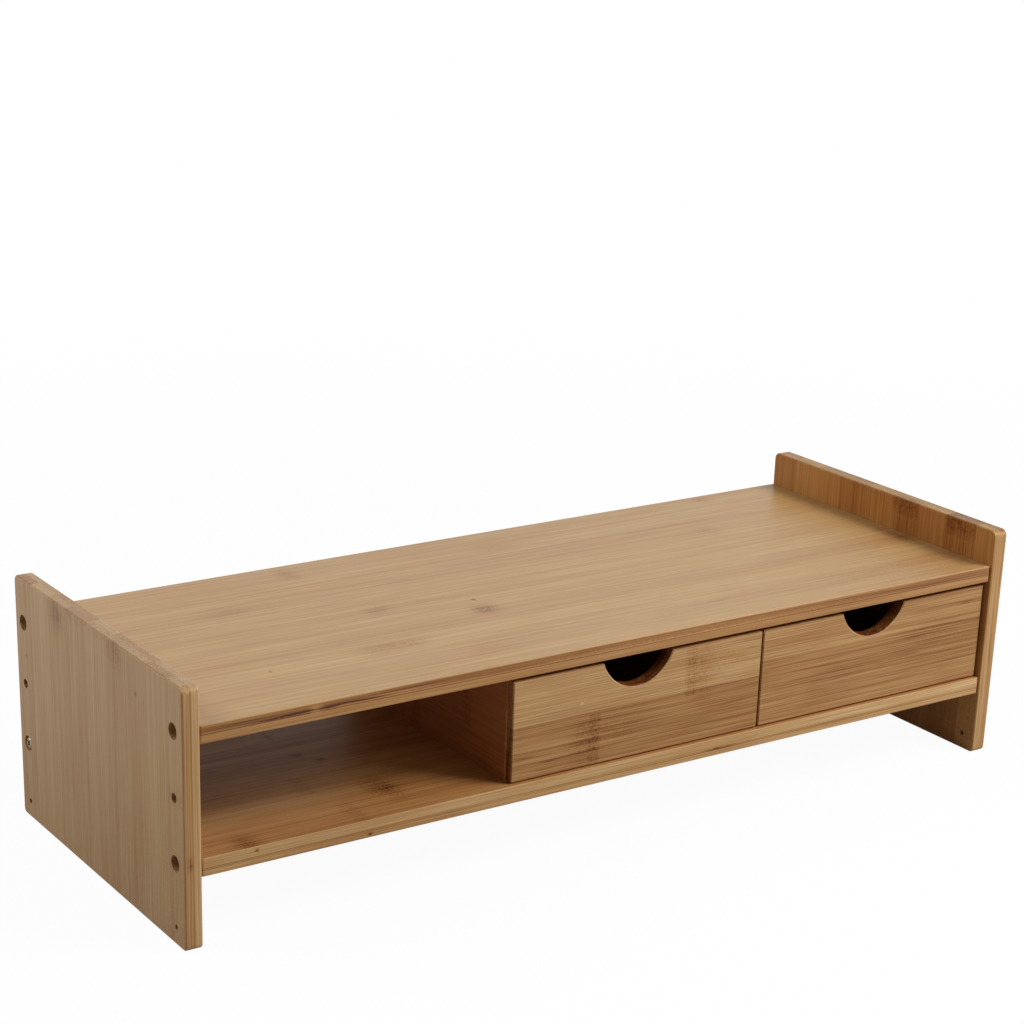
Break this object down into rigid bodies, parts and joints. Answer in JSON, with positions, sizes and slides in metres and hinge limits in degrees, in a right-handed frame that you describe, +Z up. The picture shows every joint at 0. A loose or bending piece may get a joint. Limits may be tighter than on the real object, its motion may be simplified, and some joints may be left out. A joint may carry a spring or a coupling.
{
  "type": "laptop stand with drawers",
  "caption": "Low bamboo desk riser with upright side panels, an open compartment and sliding drawers under a flat top for a laptop or screen.",
  "frame": {"origin": "on the surface that the stand rests on, under the middle of the stand", "axes": "+X to the right along the width, as seen from the drawer side; -Y towards the user, out of the drawers; +Z up"},
  "size_m": [0.56, 0.208, 0.145],
  "materials": {
    "bamboo_panel": "satin lacquer",
    "bamboo_top": "satin lacquer",
    "bamboo_front": "satin lacquer",
    "bamboo_inner": "matte",
    "screw_steel": "zinc plated",
    "dowel_wood": "raw"
  },
  "bodies": {
    "case": {"left_side_panel": "bamboo_panel", "right_side_panel": "bamboo_panel", "top_board": "bamboo_top", "bottom_shelf": "bamboo_top", "left_divider": "bamboo_inner", "middle_divider": "bamboo_inner", "left_side_screws": "screw_steel", "right_side_screws": "screw_steel", "divider_screws": "screw_steel", "divider_dowels": "dowel_wood"},
    "middle_drawer": {"middle_drawer_front": "bamboo_front", "middle_drawer_box_front": "bamboo_inner", "middle_drawer_left_side": "bamboo_inner", "middle_drawer_right_side": "bamboo_inner", "middle_drawer_back": "bamboo_inner", "middle_drawer_bottom": "bamboo_inner"},
    "right_drawer": {"right_drawer_front": "bamboo_front", "right_drawer_box_front": "bamboo_inner", "right_drawer_left_side": "bamboo_inner", "right_drawer_right_side": "bamboo_inner", "right_drawer_back": "bamboo_inner", "right_drawer_bottom": "bamboo_inner"}
  },
  "joints": [
    {"name": "middle_drawer_slide", "type": "slide", "parent": "case", "child": "middle_drawer", "axis": [0, -1, 0], "range_m": [0, 0.13]},
    {"name": "right_drawer_slide", "type": "slide", "parent": "case", "child": "right_drawer", "axis": [0, -1, 0], "range_m": [0, 0.13]}
  ]
}
